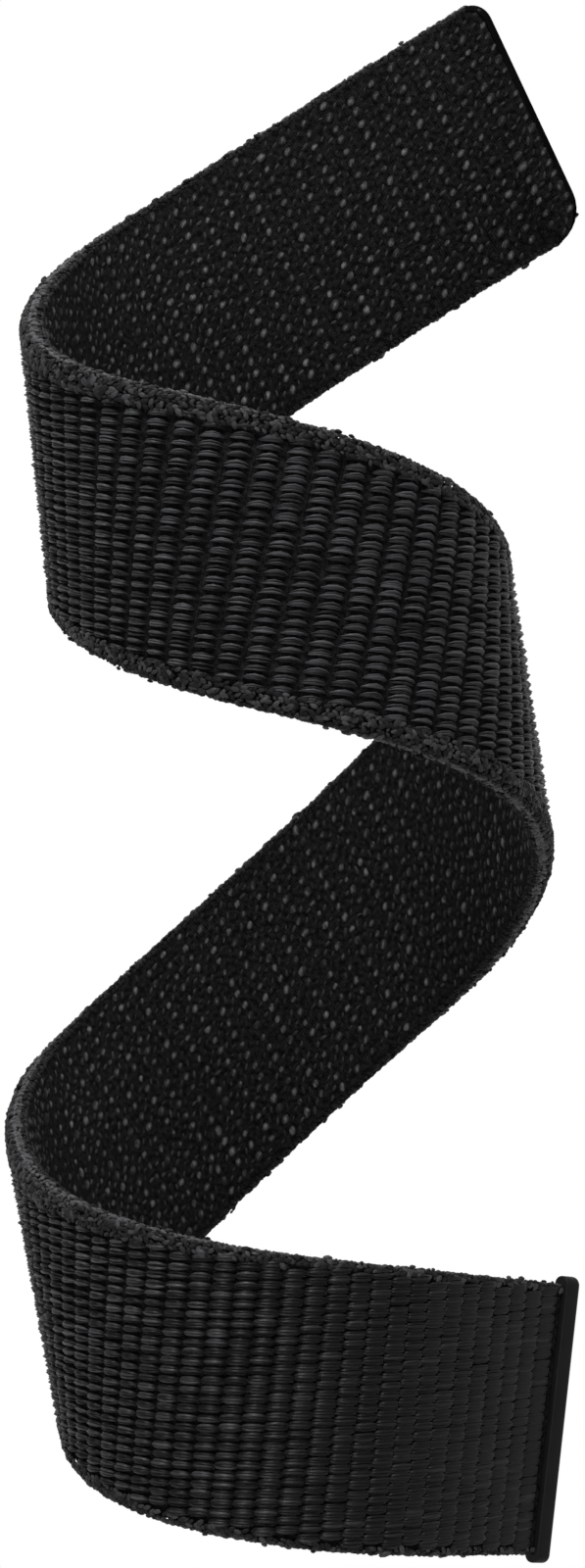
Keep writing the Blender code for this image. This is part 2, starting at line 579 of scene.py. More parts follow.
class Nodes:
    """Short calls for building the nodes of a material or of the world."""

    def __init__(self, tree: bpy.types.NodeTree, shader: str = "Principled BSDF") -> None:
        """Keeps the tree and its main shader."""
        self.tree = tree
        self.shader = tree.nodes[shader]

    def add(self, kind: str, **values: object) -> bpy.types.Node:
        """Adds a node.

        Args:
            kind: Its type, without the ShaderNode in front.
            **values: Its properties, and its sockets by name with _ for a space.

        Returns:
            The node.
        """
        node = self.tree.nodes.new("ShaderNode" + kind)
        for key, value in values.items():
            if hasattr(node, key):
                setattr(node, key, value)
            else:
                node.inputs[key.replace("_", " ")].default_value = value
        return node

    def join(self, source: bpy.types.NodeSocket, target: bpy.types.NodeSocket) -> None:
        """Links two sockets."""
        self.tree.links.new(source, target)

    def combine(
        self, operation: str, *values: bpy.types.NodeSocket | float
    ) -> bpy.types.NodeSocket:
        """Adds a Math node.

        Args:
            operation: What it does.
            *values: What it does it with: sockets to link, or numbers.

        Returns:
            Its result.
        """
        node = self.add("Math", operation=operation)
        for socket, value in zip(node.inputs, values):
            if isinstance(value, bpy.types.NodeSocket):
                self.join(value, socket)
            else:
                socket.default_value = value
        return node.outputs["Value"]

    def ranged(
        self,
        value: bpy.types.NodeSocket,
        target: tuple[float, float],
        source: tuple[float, float] = (0.0, 1.0),
    ) -> bpy.types.NodeSocket:
        """Carries a value from one span to another, and holds it there.

        Args:
            value: The value.
            target: The span that it is carried to.
            source: The span that it comes from.

        Returns:
            The carried value.
        """
        low, high = source
        node = self.add(
            "MapRange", From_Min=low, From_Max=high, To_Min=target[0], To_Max=target[1]
        )
        self.join(value, node.inputs["Value"])
        return node.outputs["Result"]

    def mapped(self, uv_map: Map, scale: Triple) -> bpy.types.NodeSocket:
        """Reads a UV map.

        Args:
            uv_map: The map.
            scale: What it is scaled by.

        Returns:
            The scaled vector.
        """
        source = self.add("UVMap", uv_map=uv_map.value)
        mapping = self.add("Mapping", Scale=scale)
        self.join(source.outputs["UV"], mapping.inputs["Vector"])
        return mapping.outputs["Vector"]

    def noise(
        self, vector: bpy.types.NodeSocket | None = None, scale: float = 1.0, detail: float = 2.0
    ) -> bpy.types.NodeSocket:
        """Adds a noise.

        Args:
            vector: What it runs over, or nothing for Object coordinates.
            scale: How fine it is.
            detail: How many finer noises lie on it.

        Returns:
            Its value.
        """
        node = self.add("TexNoise", Scale=scale, Detail=detail)
        if vector is None:
            vector = self.add("TexCoord").outputs["Object"]
        self.join(vector, node.inputs["Vector"])
        return node.outputs["Fac"]

    def colour(
        self,
        factor: bpy.types.NodeSocket,
        dark: Colour,
        light: Colour,
        span: tuple[float, float] = (0.3, 0.7),
    ) -> None:
        """Colours the shader from dark to light.

        Args:
            factor: What the colour follows.
            dark: The colour at the span's low end.
            light: The colour at its high end.
            span: The factor's values at both ends.
        """
        ramp = self.add("ValToRGB")
        for stop, place, colour in zip(ramp.color_ramp.elements, span, (dark, light)):
            stop.position = place
            stop.color = (*colour, 1.0)
        self.join(factor, ramp.inputs["Fac"])
        self.join(ramp.outputs["Color"], self.shader.inputs["Base Color"])

    def bump(self, height: bpy.types.NodeSocket, strength: float, distance: float) -> None:
        """Puts a bump on the shader.

        Args:
            height: The bump's height, from 0 to 1.
            strength: How strongly it shows.
            distance: How deep it is.
        """
        node = self.add("Bump", Strength=strength, Distance=distance)
        self.join(height, node.inputs["Height"])
        self.join(node.outputs["Normal"], self.shader.inputs["Normal"])

    def set(self, **values: object) -> None:
        """Sets the shader's own sockets, named with _ for a space."""
        for key, value in values.items():
            self.shader.inputs[key.replace("_", " ")].default_value = value

    def seen(self) -> bpy.types.NodeSocket:
        """Tells what looks at a surface from light on its way to one.

        Returns:
            1 for the camera, gloss and glass, and 0 for other light.
        """
        path = self.add("LightPath")
        seen = path.outputs["Is Camera Ray"]
        for kind in ("Is Glossy Ray", "Is Transmission Ray"):
            seen = self.combine("MAXIMUM", seen, path.outputs[kind])
        return seen

    def blend(self, share: bpy.types.NodeSocket, white: bpy.types.Node, end: str) -> None:
        """Ends the tree in a blend of its main shader and plain white.

        Args:
            share: How white it is.
            white: The white shader.
            end: The name of the tree's output node.
        """
        mix = self.add("MixShader")
        self.join(share, mix.inputs["Fac"])
        self.join(self.shader.outputs[0], mix.inputs[1])
        self.join(white.outputs[0], mix.inputs[2])
        self.join(mix.outputs["Shader"], self.tree.nodes[end].inputs["Surface"])


@dataclass(frozen=True)
class YarnFinish:
    """Nylon yarn: fine filaments along the strand, and strands that differ a little."""

    name: str
    dark: Colour
    light: Colour
    roughness: float = 0.42
    sheen: float = 0.05
    sheen_roughness: float = 0.4
    gloss: tuple[float, float] = (0.11, 0.28)
    span: tuple[float, float] = (0.25, 1.1)
    filaments: float = 22.0
    breaks: float = 2.0
    streak_share: float = 0.6
    bump_strength: float = 0.6
    bump_depth: float = 0.05 * MM

    def make(self) -> bpy.types.Material:
        """Builds the yarn's nodes.

        Returns:
            The material.
        """
        material = new_material(self.name)
        nodes = Nodes(material.node_tree)
        along = nodes.mapped(Map.STRAND, (self.filaments, self.breaks, 1.0))
        streaks = nodes.noise(along, detail=1.0)
        # The tone attribute holds each strand's random tone and the light and shade painted on
        # floats, knots and edge loops; colour and gloss follow it.
        tone = nodes.add("Attribute", attribute_name="tone").outputs["Fac"]
        lightness = nodes.combine("MULTIPLY_ADD", streaks, self.streak_share, tone)
        nodes.colour(lightness, self.dark, self.light, self.span)
        gloss = nodes.ranged(lightness, self.gloss, self.span)
        nodes.join(gloss, nodes.shader.inputs["Specular IOR Level"])
        nodes.bump(streaks, self.bump_strength, self.bump_depth)
        nodes.set(
            Roughness=self.roughness,
            Specular_IOR_Level=sum(self.gloss) / 2,
            Sheen_Weight=self.sheen,
            Sheen_Roughness=self.sheen_roughness,
        )
        return material


@dataclass(frozen=True)
class GroundFinish:
    """The close weave under the floats and knots."""

    name: str
    dark: Colour
    light: Colour
    threads_per_mm: float = 2.6
    weft_share: float = 1.4
    thread_scale: float = 0.5
    thread_wander: float = 1.2
    wander_scale: float = 2.0
    mottle_per_mm: float = 2.2
    thread_share: float = 0.25
    span: tuple[float, float] = (0.4, 0.8)
    relief: float = 0.2 * MM
    roughness: float = 0.9
    gloss: float = 0.035

    def make(self) -> bpy.types.Material:
        """Builds the weave's nodes.

        Returns:
            The material.
        """
        material = new_material(self.name)
        nodes = Nodes(material.node_tree)
        warp = self._threads(nodes, "X", 1.0)
        weft = self._threads(nodes, "Y", self.weft_share)
        threads = nodes.combine("MULTIPLY", warp, weft)
        mottle = nodes.noise(nodes.mapped(Map.FLAT, (self.mottle_per_mm,) * 3))
        height = nodes.combine("MULTIPLY_ADD", threads, self.thread_share, mottle)
        nodes.colour(height, self.dark, self.light, self.span)
        nodes.bump(height, 1.0, self.relief)
        nodes.set(Roughness=self.roughness, Specular_IOR_Level=self.gloss)
        return material

    def _threads(self, nodes: Nodes, direction: str, share: float) -> bpy.types.NodeSocket:
        """Threads that lie side by side in one direction.

        Args:
            nodes: The material's nodes.
            direction: The axis that they follow one another on.
            share: How close they are beside the warp.

        Returns:
            Their height.
        """
        pitch = self.threads_per_mm
        wave = nodes.add(
            "TexWave",
            wave_type="BANDS",
            bands_direction=direction,
            Scale=self.thread_scale,
            Distortion=self.thread_wander,
            Detail_Scale=self.wander_scale,
        )
        nodes.join(nodes.mapped(Map.FLAT, (pitch, pitch * share, 1.0)), wave.inputs["Vector"])
        return wave.outputs["Fac"]


@dataclass(frozen=True)
class MouldedFinish:
    """Moulded or melted nylon: a fine grain, and soft streaks in its gloss."""

    name: str
    dark: Colour
    light: Colour
    gloss: float
    roughness: tuple[float, float] = (0.34, 0.5)
    cloud: float = 420.0
    cloud_detail: float = 3.0
    grain: float = 9000.0
    grain_strength: float = 0.5
    grain_depth: float = 0.012 * MM

    def make(self) -> bpy.types.Material:
        """Builds the moulding's nodes.

        Returns:
            The material.
        """
        material = new_material(self.name)
        nodes = Nodes(material.node_tree)
        cloud = nodes.noise(scale=self.cloud, detail=self.cloud_detail)
        nodes.colour(cloud, self.dark, self.light)
        nodes.join(nodes.ranged(cloud, self.roughness), nodes.shader.inputs["Roughness"])
        nodes.bump(nodes.noise(scale=self.grain), self.grain_strength, self.grain_depth)
        nodes.set(Specular_IOR_Level=self.gloss)
        return material


BLACK = (0.002, 0.002, 0.002)
SOOT = (0.004, 0.004, 0.004)
CHARCOAL = (0.014, 0.014, 0.014)
OUTER_YARN = YarnFinish("outer_yarn", (0.002, 0.002, 0.0023), (0.046, 0.0465, 0.0493))
INNER_YARN = YarnFinish(
    "inner_yarn", (0.005, 0.005, 0.005), (0.093, 0.093, 0.093), roughness=0.6, sheen=0.0
)
DIM_YARN = YarnFinish("dim_yarn", BLACK, CHARCOAL, roughness=0.7, sheen=0.0)
EDGE_YARN = YarnFinish(
    "edge_yarn",
    (0.005, 0.005, 0.0053),
    (0.04, 0.0405, 0.0425),
    roughness=0.55,
    sheen=0.02,
    gloss=(0.06, 0.2),
)
GROUND_WEAVE = GroundFinish("ground_weave", (0.001, 0.001, 0.001), (0.012, 0.012, 0.012))
MELTED_NYLON = MouldedFinish("melted_nylon", BLACK, SOOT, gloss=0.0, roughness=(0.5, 0.65))
MOULDED_NYLON = MouldedFinish("moulded_nylon", SOOT, (0.006, 0.006, 0.0065), gloss=0.06)
HOOK_NYLON = MouldedFinish("hook_nylon", (0.012, 0.012, 0.013), (0.02, 0.02, 0.022), gloss=0.28)


# Cloth


@dataclass
class Weave:
    """Where the ribs of the weave lie: their pitch along the band, and how far they lean."""

    band: Band
    pitch: float = 2.2 * MM
    pitch_shares: tuple[float, ...] = (
        0.79, 0.76, 1.12, 0.95, 0.98, 1.1, 1.1, 0.93, 1.04, 1.11, 0.98
    )
    skew_shares: tuple[float, ...] = (
        0.0, 0.04, 0.08, 0.2, 0.24, 0.12, 0.0, 0.08, 0.1, 0.1, 0.09
    )
    float_pitch: float = 0.73 * MM
    first: float = 0.7 * MM
    flat_edge: float = 0.5 * MM
    loose_edge: float = 1.15 * MM
    inner_edge: float = 0.8 * MM
    tail_margin: float = 0.7 * MM
    loose_from: float = 14.0 * MM
    loose_to: float = 54.0 * MM
    ribs: np.ndarray = field(init=False, repr=False)

    def __post_init__(self) -> None:
        """Sets out the ribs, rows of middle and length along the band, and fits them to it."""
        last = self.band.coil.length - self.tail_margin
        rows, place = [], self.first
        while True:
            wide = float(self.pitch_at(place))
            if place + wide > last:
                break
            rows.append((place + wide / 2, wide))
            place += wide
        self.ribs = np.array(rows)
        stretch = (last - self.first) / (place - self.first)
        self.ribs[:, 0] = self.first + (self.ribs[:, 0] - self.first) * stretch
        self.ribs[:, 1] *= stretch

    def pitch_at(self, along: np.ndarray | float) -> np.ndarray:
        """The ribs' pitch here."""
        return self.pitch * shares_at(self.pitch_shares, along / self.band.coil.length)

    def skew(self, along: np.ndarray) -> np.ndarray:
        """How far a rib here runs along the band for each unit that it runs across it."""
        return shares_at(self.skew_shares, along / self.band.coil.length)

    def skewed(self, along: np.ndarray, across: np.ndarray) -> np.ndarray:
        """Where a rib that crosses the middle line at along lies, this far across the band."""
        return along + self.skew(along) * across

    def looseness(self, along: np.ndarray) -> np.ndarray:
        """How loose the outer face's floats are here: 0 flat near the bar, 1 further on."""
        return eased(along, self.loose_from, self.loose_to)

    def half_outer(self, along: np.ndarray) -> np.ndarray:
        """Half the width between the selvedges on the outer face."""
        edge = between(self.flat_edge, self.loose_edge, self.looseness(along))
        return self.band.width / 2 - edge

    @property
    def half_inner(self) -> float:
        """Half the width between the selvedges on the inner face."""
        return self.band.width / 2 - self.inner_edge


@dataclass
class YarnLayer:
    """Many copies of one short length of yarn, set out over the flat band."""

    weave: Weave
    finish: bpy.types.Material
    label: str = "yarn"
    seed: int = 1
    around: int = 6
    along: int = 6
    twist: float = 0.35
    tone_span: tuple[float, float] = (0.0, 0.6)
    strand_places: float = 50.0
    band: Band = field(init=False, repr=False)
    random: np.random.Generator = field(init=False, repr=False)

    def __post_init__(self) -> None:
        """Takes the band from the weave, and starts the layer's own random numbers."""
        self.band = self.weave.band
        self.random = np.random.default_rng(self.seed)

    def unit(self) -> bmesh.types.BMesh:
        """Makes one copy as a rounded grain.

        Returns:
            The grain: its poles on X, and its radius 1.
        """
        grain = bmesh.new()
        grain.loops.layers.uv.new(Map.STRAND.value)
        bmesh.ops.create_uvsphere(
            grain,
            u_segments=self.around,
            v_segments=self.along,
            radius=1.0,
            matrix=Matrix.Rotation(math.pi / 2, 4, "Y"),
            calc_uvs=True,
        )
        return grain

    def places(self) -> np.ndarray:
        """Where the copies' middles lie, in flat coordinates (n, 3)."""
        raise NotImplementedError

    def shaped(self, unit: np.ndarray, places: np.ndarray) -> np.ndarray:
        """The copies' points (n, k, 3) in flat coordinates, from the unit's (k, 3) and places."""
        raise NotImplementedError

    def build(self) -> None:
        """Makes one piece of the layer for each stretch of the band."""
        unit = to_mesh(self.label + "_unit", self.unit())
        shape = points_of(unit)
        places = self.places()
        places = places[self.band.in_tail(places)]
        for stretch in self.band.stretches:
            chosen = places[self.band.inside(stretch, places)]
            if not len(chosen):
                continue
            copies = bmesh.new()
            for _ in chosen:
                copies.from_mesh(unit)
            mesh = to_mesh(f"{self.label}_{stretch.number:02d}", copies)
            flat = self.shaped(shape, chosen).reshape(-1, 3)
            # Each point's tone is its copy's tone plus the light and shade painted on it.
            self._vary(mesh, self.tones(chosen)[:, None] + self.shades(shape, chosen))
            self.band.add(mesh.name, mesh, flat, self.finish, stretch, Slot.BAND)
        bpy.data.meshes.remove(unit)

    def tones(self, places: np.ndarray) -> np.ndarray:
        """How light each copy is, from 0 up."""
        return self.random.uniform(*self.tone_span, len(places))

    def shades(self, unit: np.ndarray, places: np.ndarray) -> np.ndarray:
        """How much lighter each point is than its copy, as painted light and shade, an array (n,
        k).
        """
        return np.zeros((len(places), len(unit)))

    def _vary(self, mesh: bpy.types.Mesh, tones: np.ndarray) -> None:
        """Gives each point its tone, painted light and shade included, and each copy its own place
        in the strand pattern.

        Args:
            mesh: The mesh of the copies.
            tones: The points' tones (n, k), painted light and shade included.
        """
        copies = len(tones)
        attribute = mesh.attributes.new("tone", "FLOAT", "POINT")
        attribute.data.foreach_set("value", tones.ravel())
        layer = mesh.uv_layers[Map.STRAND.value]
        spots = np.empty(len(layer.uv) * 2)
        layer.uv.foreach_get("vector", spots)
        shift = self.random.uniform(0, self.strand_places, (copies, 1, 2))
        spots = spots.reshape(copies, -1, 2) + shift
        spots[:, :, 0] += self.twist * spots[:, :, 1]
        layer.uv.foreach_set("vector", spots.ravel())


@dataclass
class OuterFloats(YarnLayer):
    """The floats on the outer face: loose loops in columns, and flat bricks near the bar."""

    label: str = "floats"
    seed: int = 11
    plies: tuple[float, ...] = (-1.0, 0.0, 1.0)
    ply_share: float = 0.42
    ply_sink: float = 0.06 * MM
    yarn_height: float = 0.42 * MM
    half_share: float = 0.5
    brick_overlap: float = 0.06
    brick_width: float = 0.82 * MM
    loop_width: float = 0.52 * MM
    brick_rise: float = 0.14 * MM
    loop_rise: float = 0.68 * MM
    brick_taper_share: float = 0.2
    loop_taper_share: float = 0.72
    brick_arch: float = 3.2
    loop_arch: float = 2.0
    brick_shade: float = 0.56
    # Painted shade at the loose floats' ends, and a painted slope of light along each float.
    painted_end_shade: float = 0.55
    painted_light_slope: float = 0.3
    bow: float = 0.2 * MM
    tilt: float = 0.13
    length_wobble: float = 0.015
    width_wobble: float = 0.08
    height_wobble: float = 0.035 * MM
    jitter: float = 0.05 * MM
    out_jitter: float = 0.03 * MM

    def places(self) -> np.ndarray:
        """Sets out one float for each rib and each step across it.

        Returns:
            The middles (n, 3) of the floats' plies. Y is the ply.
        """
        step = self.weave.float_pitch
        rows = []
        for number, (middle, _) in enumerate(self.weave.ribs):
            half = float(self.weave.half_outer(middle))
            across = np.arange(-half + step / 2 * (1 + number % 2), half, step)
            along = self.weave.skewed(np.full(len(across), middle), across)
            for ply in self.plies:
                rows.append(flat_rows(along, ply, across))
        return np.concatenate(rows)

    def tones(self, places: np.ndarray) -> np.ndarray:
        """The flat floats near the bar are a little darker than the loose ones."""
        shade = self.brick_shade * (1 - self.weave.looseness(places[:, 0]))
        return super().tones(places) - shade

    def shades(self, unit: np.ndarray, places: np.ndarray) -> np.ndarray:
        """Paints shade on the loose floats toward their ends, where they dip under their
        neighbours, and paints each float lighter toward the tail and darker toward the bar.

        Args:
            unit: The unit shape's points (k, 3).
            places: The copies' middles (n, 3).

        Returns:
            The painted light and shade: how much lighter each point is than its copy, an array (n,
                k).
        """
        loose = self.weave.looseness(places[:, 0])[:, None]
        along = unit[None, :, 0]
        # Painted shade at both ends of each float, and painted light rising from its bar end to
        # its tail end.
        return loose * (self.painted_light_slope * along - self.painted_end_shade * along**4)

    def shaped(self, unit: np.ndarray, places: np.ndarray) -> np.ndarray:
        """Makes each ply a tapered strand that arches out of the ground and bows upward.

        Args:
            unit: The unit shape's points (k, 3).
            places: The copies' middles (n, 3).

        Returns:
            The copies' points (n, k, 3) in flat coordinates.
        """
        loose = self.weave.looseness(places[:, 0])[:, None]
        wobble = self.random.normal(0, 1, (len(places), 5))
        ring = np.hypot(unit[:, 1], unit[:, 2])
        spin_out = np.divide(unit[:, 1], ring, out=np.zeros_like(ring), where=ring > 0)
        spin_up = np.divide(unit[:, 2], ring, out=np.zeros_like(ring), where=ring > 0)
        taper = between(self.brick_taper_share, self.loop_taper_share, loose)
        full = ring[None, :] ** (2 * taper)
        half = self.half_share + self.brick_overlap * (1 - loose)
        half = half + self.length_wobble * wobble[:, :1]
        reach = self.weave.pitch_at(places[:, :1]) * half * unit[None, :, 0]
        arch = 1 - np.abs(unit[None, :, 0]) ** between(self.brick_arch, self.loop_arch, loose)
        rise = between(self.brick_rise, self.loop_rise, loose)
        width = between(self.brick_width, self.loop_width, loose)
        ply = places[:, 1:2]
        top = self.band.thickness / 2 - self.yarn_height / 2
        out = top - rise * (1 - arch) + full * spin_out * self.yarn_height / 2
        out = out - self.ply_sink * np.abs(ply) + self.height_wobble * wobble[:, 4:]
        out = out + self.out_jitter * wobble[:, 3:4] * loose
        aside = ply * (1 - self.ply_share) + self.ply_share * spin_up
        up = (
            places[:, 2:]
            + full * aside * width / 2 * (1 + self.width_wobble * wobble[:, 1:2])
            + self.bow * loose * (arch - 0.5)
            - self.tilt * reach
            + self.jitter * wobble[:, 2:3] * loose
        )
        along = places[:, :1] + reach + self.weave.skew(places[:, :1]) * (up - places[:, 2:])
        return np.stack((along, out * self.band.fullness(places[:, :1]), up), axis=2)


@dataclass
class GrainLayer(YarnLayer):
    """A layer of small slanting grains, each turned and scaled a little in its own way."""

    length: float = 0.5 * MM
    width: float = 0.31 * MM
    height: float = 0.26 * MM
    slant: float = math.radians(28.0)
    slant_wobble: float = 0.15
    size_wobble: float = 0.12
    drift: float = 0.04 * MM

    def grains(
        self, unit: np.ndarray, slant: np.ndarray, wobble: np.ndarray
    ) -> tuple[np.ndarray, np.ndarray, np.ndarray]:
        """Gives each grain its size and its slant.

        Args:
            unit: The unit shape's points (k, 3).
            slant: The grains' slants (n, 1), before their wobble.
            wobble: Random numbers (n, 2 or more), for the slant and the size.

        Returns:
            How far each point lies along, out of and across the cloth from its grain's
            middle, three arrays (n, k).
        """
        grain = unit * np.array((self.length, self.height, self.width))
        slant = slant + self.slant_wobble * wobble[:, :1]
        size = 1 + self.size_wobble * wobble[:, 1:2]
        along = size * (grain[None, :, 0] * np.cos(slant) - grain[None, :, 2] * np.sin(slant))
        across = size * (grain[None, :, 0] * np.sin(slant) + grain[None, :, 2] * np.cos(slant))
        return along, size * grain[None, :, 1], across


@dataclass
class InnerKnots(GrainLayer):
    """The small crowns of yarn that show on the inner face."""

    label: str = "knots"
    seed: int = 23
    tone_span: tuple[float, float] = (0.22, 0.5)
    step: float = 1.1 * MM
    rib_shift: float = 0.27
    level_share: float = 0.75
    # Painted shade down the knots' sides, below their lit crowns.
    painted_side_shade: float = 1.0
    crown_noise: float = 0.15

    def places(self) -> np.ndarray:
        """Sets out one knot for each rib and each step across it, each rib a little further on.

        Returns:
            The knots' middles (n, 3).
        """
        half = self.weave.half_inner
        rows = []
        for number, (middle, wide) in enumerate(self.weave.ribs):
            offset = self.step * ((self.rib_shift * number) % 1.0)
            across = np.arange(-half + offset + self.step / 4, half, self.step)
            along = self.weave.skewed(np.full(len(across), middle + wide / 2), across)
            rows.append(flat_rows(along, 0.0, across))
        return np.concatenate(rows)

    def shades(self, unit: np.ndarray, places: np.ndarray) -> np.ndarray:
        """Paints shade down each knot's sides to where it meets the ground, so that its crown
        shows lit, and adds random noise to its tone.

        Args:
            unit: The unit shape's points (k, 3).
            places: The copies' middles (n, 3).

        Returns:
            The painted shade and the noise: how much lighter each point is than its copy, an array
                (n, k).
        """
        # Painted shade, none on the crown and full where the knot sinks into the ground.
        painted_shade = self.painted_side_shade * np.clip(1 + unit[:, 1], 0.0, 1.0)
        noise = self.random.normal(0.0, self.crown_noise, (len(places), len(unit)))
        return noise - painted_shade[None, :]

    def shaped(self, unit: np.ndarray, places: np.ndarray) -> np.ndarray:
        """Makes each knot a slanting grain, half sunk in the ground.

        Args:
            unit: The unit shape's points (k, 3).
            places: The copies' middles (n, 3).

        Returns:
            The copies' points (n, k, 3) in flat coordinates.
        """
        wobble = self.random.normal(0, 1, (len(places), 4))
        along, out, across = self.grains(unit, self.slant, wobble)
        along = places[:, :1] + along + self.drift * wobble[:, 2:3]
        across = places[:, 2:] + across + self.drift * wobble[:, 3:]
        level = self.height * self.level_share - self.band.thickness / 2
        return np.stack((along, (level + out) * self.band.fullness(places[:, :1]), across), axis=2)


@dataclass
class ValleyGrains(GrainLayer):
    """The dim loops that lie between the knots, low in the ground of the inner face."""

    label: str = "valley"
    seed: int = 29
    along: int = 4
    step: float = 0.55 * MM
    aside_shares: tuple[float, float] = (-0.12, 0.16)
    depth: float = 0.16 * MM
    depth_wobble: float = 0.03 * MM
    length: float = 0.34 * MM
    width: float = 0.14 * MM
    height: float = 0.12 * MM
    slant: float = math.radians(32.0)
    slant_wobble: float = 0.3
    size_wobble: float = 0.15
    drift: float = 0.06 * MM

    def places(self) -> np.ndarray:
        """Sets out two loops for each knot, in the valley on each rib.

        Returns:
            The loops' middles (n, 3).
        """
        half = self.weave.half_inner
        rows = []
        for number, (middle, wide) in enumerate(self.weave.ribs):
            across = np.arange(-half + self.step * (0.25 + 0.5 * (number % 2)), half, self.step)
            aside = np.resize(self.aside_shares, len(across)) * wide
            rows.append(flat_rows(self.weave.skewed(middle + aside, across), 0.0, across))
        return np.concatenate(rows)

    def shaped(self, unit: np.ndarray, places: np.ndarray) -> np.ndarray:
        """Makes each loop a small slanting grain, mostly sunk in the ground.

        Args:
            unit: The unit shape's points (k, 3).
            places: The copies' middles (n, 3).

        Returns:
            The copies' points (n, k, 3) in flat coordinates.
        """
        wobble = self.random.normal(0, 1, (len(places), 4))
        along, out, across = self.grains(unit, self.slant, wobble)
        across = places[:, 2:] + across + self.drift * wobble[:, 3:]
        level = self.depth - self.band.thickness / 2 + self.depth_wobble * wobble[:, 2:3]
        out = (level + out) * self.band.fullness(places[:, :1])
        return np.stack((places[:, :1] + along, out, across), axis=2)


@dataclass
class EdgeGrains(GrainLayer):
    """The fine crumbly loops that wrap each selvedge from one face to the other."""

    label: str = "edging"
    seed: int = 41
    along: int = 4
    pitch: float = 0.5 * MM
    row_pitch: float = 0.36 * MM
    flat_reach: float = 1.3 * MM
    outer_reach: float = 2.3 * MM
    inner_reach: float = 1.0 * MM
    # Where the painted highlight runs down the rim, and how wide it is.
    rim_place: float = -0.02 * MM
    rim_width: float = 0.25 * MM
    painted_rim_highlight: float = 1.3
    rim_spread: tuple[float, float] = (0.2, 1.3)
    base_shade: float = 0.15
    inner_shade: float = 0.6
    inner_from: float = 0.25 * MM
    inner_to: float = 0.7 * MM
    speck_power: float = 1.8
    speck_tone: float = 0.6
    outer_level: float = 0.86
    wall: float = 0.3 * MM
    radius: float = 0.8 * MM
    length: float = 0.33 * MM
    width: float = 0.19 * MM
    height: float = 0.16 * MM
    sink: float = 0.07 * MM
    sink_wobble: float = 0.035 * MM
    stray_share: float = 0.035
    stray_rise: float = 0.2 * MM
    slant: float = math.radians(35.0)
    slant_wobble: float = 0.4
    size_wobble: float = 0.2
    round_drift: float = 0.05 * MM
    drift: float = 0.08 * MM

    def places(self) -> np.ndarray:
        """Sets out rows of loops round both edges.

        Returns:
            The loops' middles (n, 3). Y is the distance round the edge from its middle.
        """
        down = np.arange(self.pitch / 2, self.band.coil.length, self.pitch)
        round_edge = np.arange(-self.inner_reach, self.outer_reach, self.row_pitch)
        rows = []
        for side in (-1, 1):
            for number, spot in enumerate(round_edge):
                across = side * (self.band.width / 2 - self._profile(spot)[1])
                shift = self.pitch / 2 * (number % 2)
                rows.append(flat_rows(down + shift, spot, across))
        places = np.concatenate(rows)
        reach = between(self.flat_reach, self.outer_reach, self.weave.looseness(places[:, 0]))
        return places[places[:, 1] < reach]

    def tones(self, places: np.ndarray) -> np.ndarray:
        """Makes the loops differ at random, paints a line of highlight down the rim, and makes the
        loops darker round on the inner side.

        Args:
            places: The copies' middles (n, 3).

        Returns:
            How light each copy is, the painted highlight included.
        """
        away = (places[:, 1] - self.rim_place) / self.rim_width
        specks = self.random.uniform(0.0, 1.0, len(places)) ** self.speck_power
        spread = self.random.uniform(*self.rim_spread, len(places))
        # A painted highlight down the rim, where its fibres catch the light.
        rim_highlight = self.painted_rim_highlight * spread * np.exp(-away * away)
        shade = self.inner_shade * eased(-places[:, 1], self.inner_from, self.inner_to)
        return self.speck_tone * specks - self.base_shade - shade + rim_highlight

    def _profile(self, spot: np.ndarray | float, raised: np.ndarray | float = 0.0) -> np.ndarray:
        """Follows the edge's rounded profile.

        Args:
            spot: Distances round the edge from its middle, above zero on the outer side.
            raised: How far above the edge's surface the points are.

        Returns:
            How far out of the cloth's middle, and how far in from its edge, they lie.
        """
        turn = np.clip((np.abs(spot) - self.wall) / self.radius, 0.0, math.pi / 2)
        flat = np.maximum(np.abs(spot) - self.wall - self.radius * math.pi / 2, 0.0)
        out = np.minimum(np.abs(spot), self.wall) + (self.radius + raised) * np.sin(turn)
        inset = self.radius - (self.radius + raised) * np.cos(turn) + flat
        return np.stack((out * np.where(np.asarray(spot) > 0, self.outer_level, -1.0), inset))

    def shaped(self, unit: np.ndarray, places: np.ndarray) -> np.ndarray:
        """Makes each loop a small grain on the edge's surface, turned its own way.

        Args:
            unit: The unit shape's points (k, 3).
            places: The copies' middles (n, 3).

        Returns:
            The copies' points (n, k, 3) in flat coordinates.
        """
        wobble = self.random.normal(0, 1, (len(places), 5))
        row = np.round(places[:, 1:2] / self.row_pitch) % 2 * 2 - 1
        along, raised, spot = self.grains(unit, self.slant * row, wobble)
        spot = spot + places[:, 1:2] + self.round_drift * wobble[:, 2:3]
        strays = self.random.uniform(0, 1, (len(places), 1)) < self.stray_share
        strays = strays & (np.abs(places[:, 1:2]) < self.radius)
        raised = raised - self.sink + self.sink_wobble * wobble[:, 3:4] + self.stray_rise * strays
        out, inset = self._profile(spot, raised)
        along = places[:, :1] + along + self.drift * wobble[:, 4:]
        across = np.sign(places[:, 2:]) * (self.band.width / 2 - inset)
        return np.stack((along, out * self.band.fullness(places[:, :1]), across), axis=2)


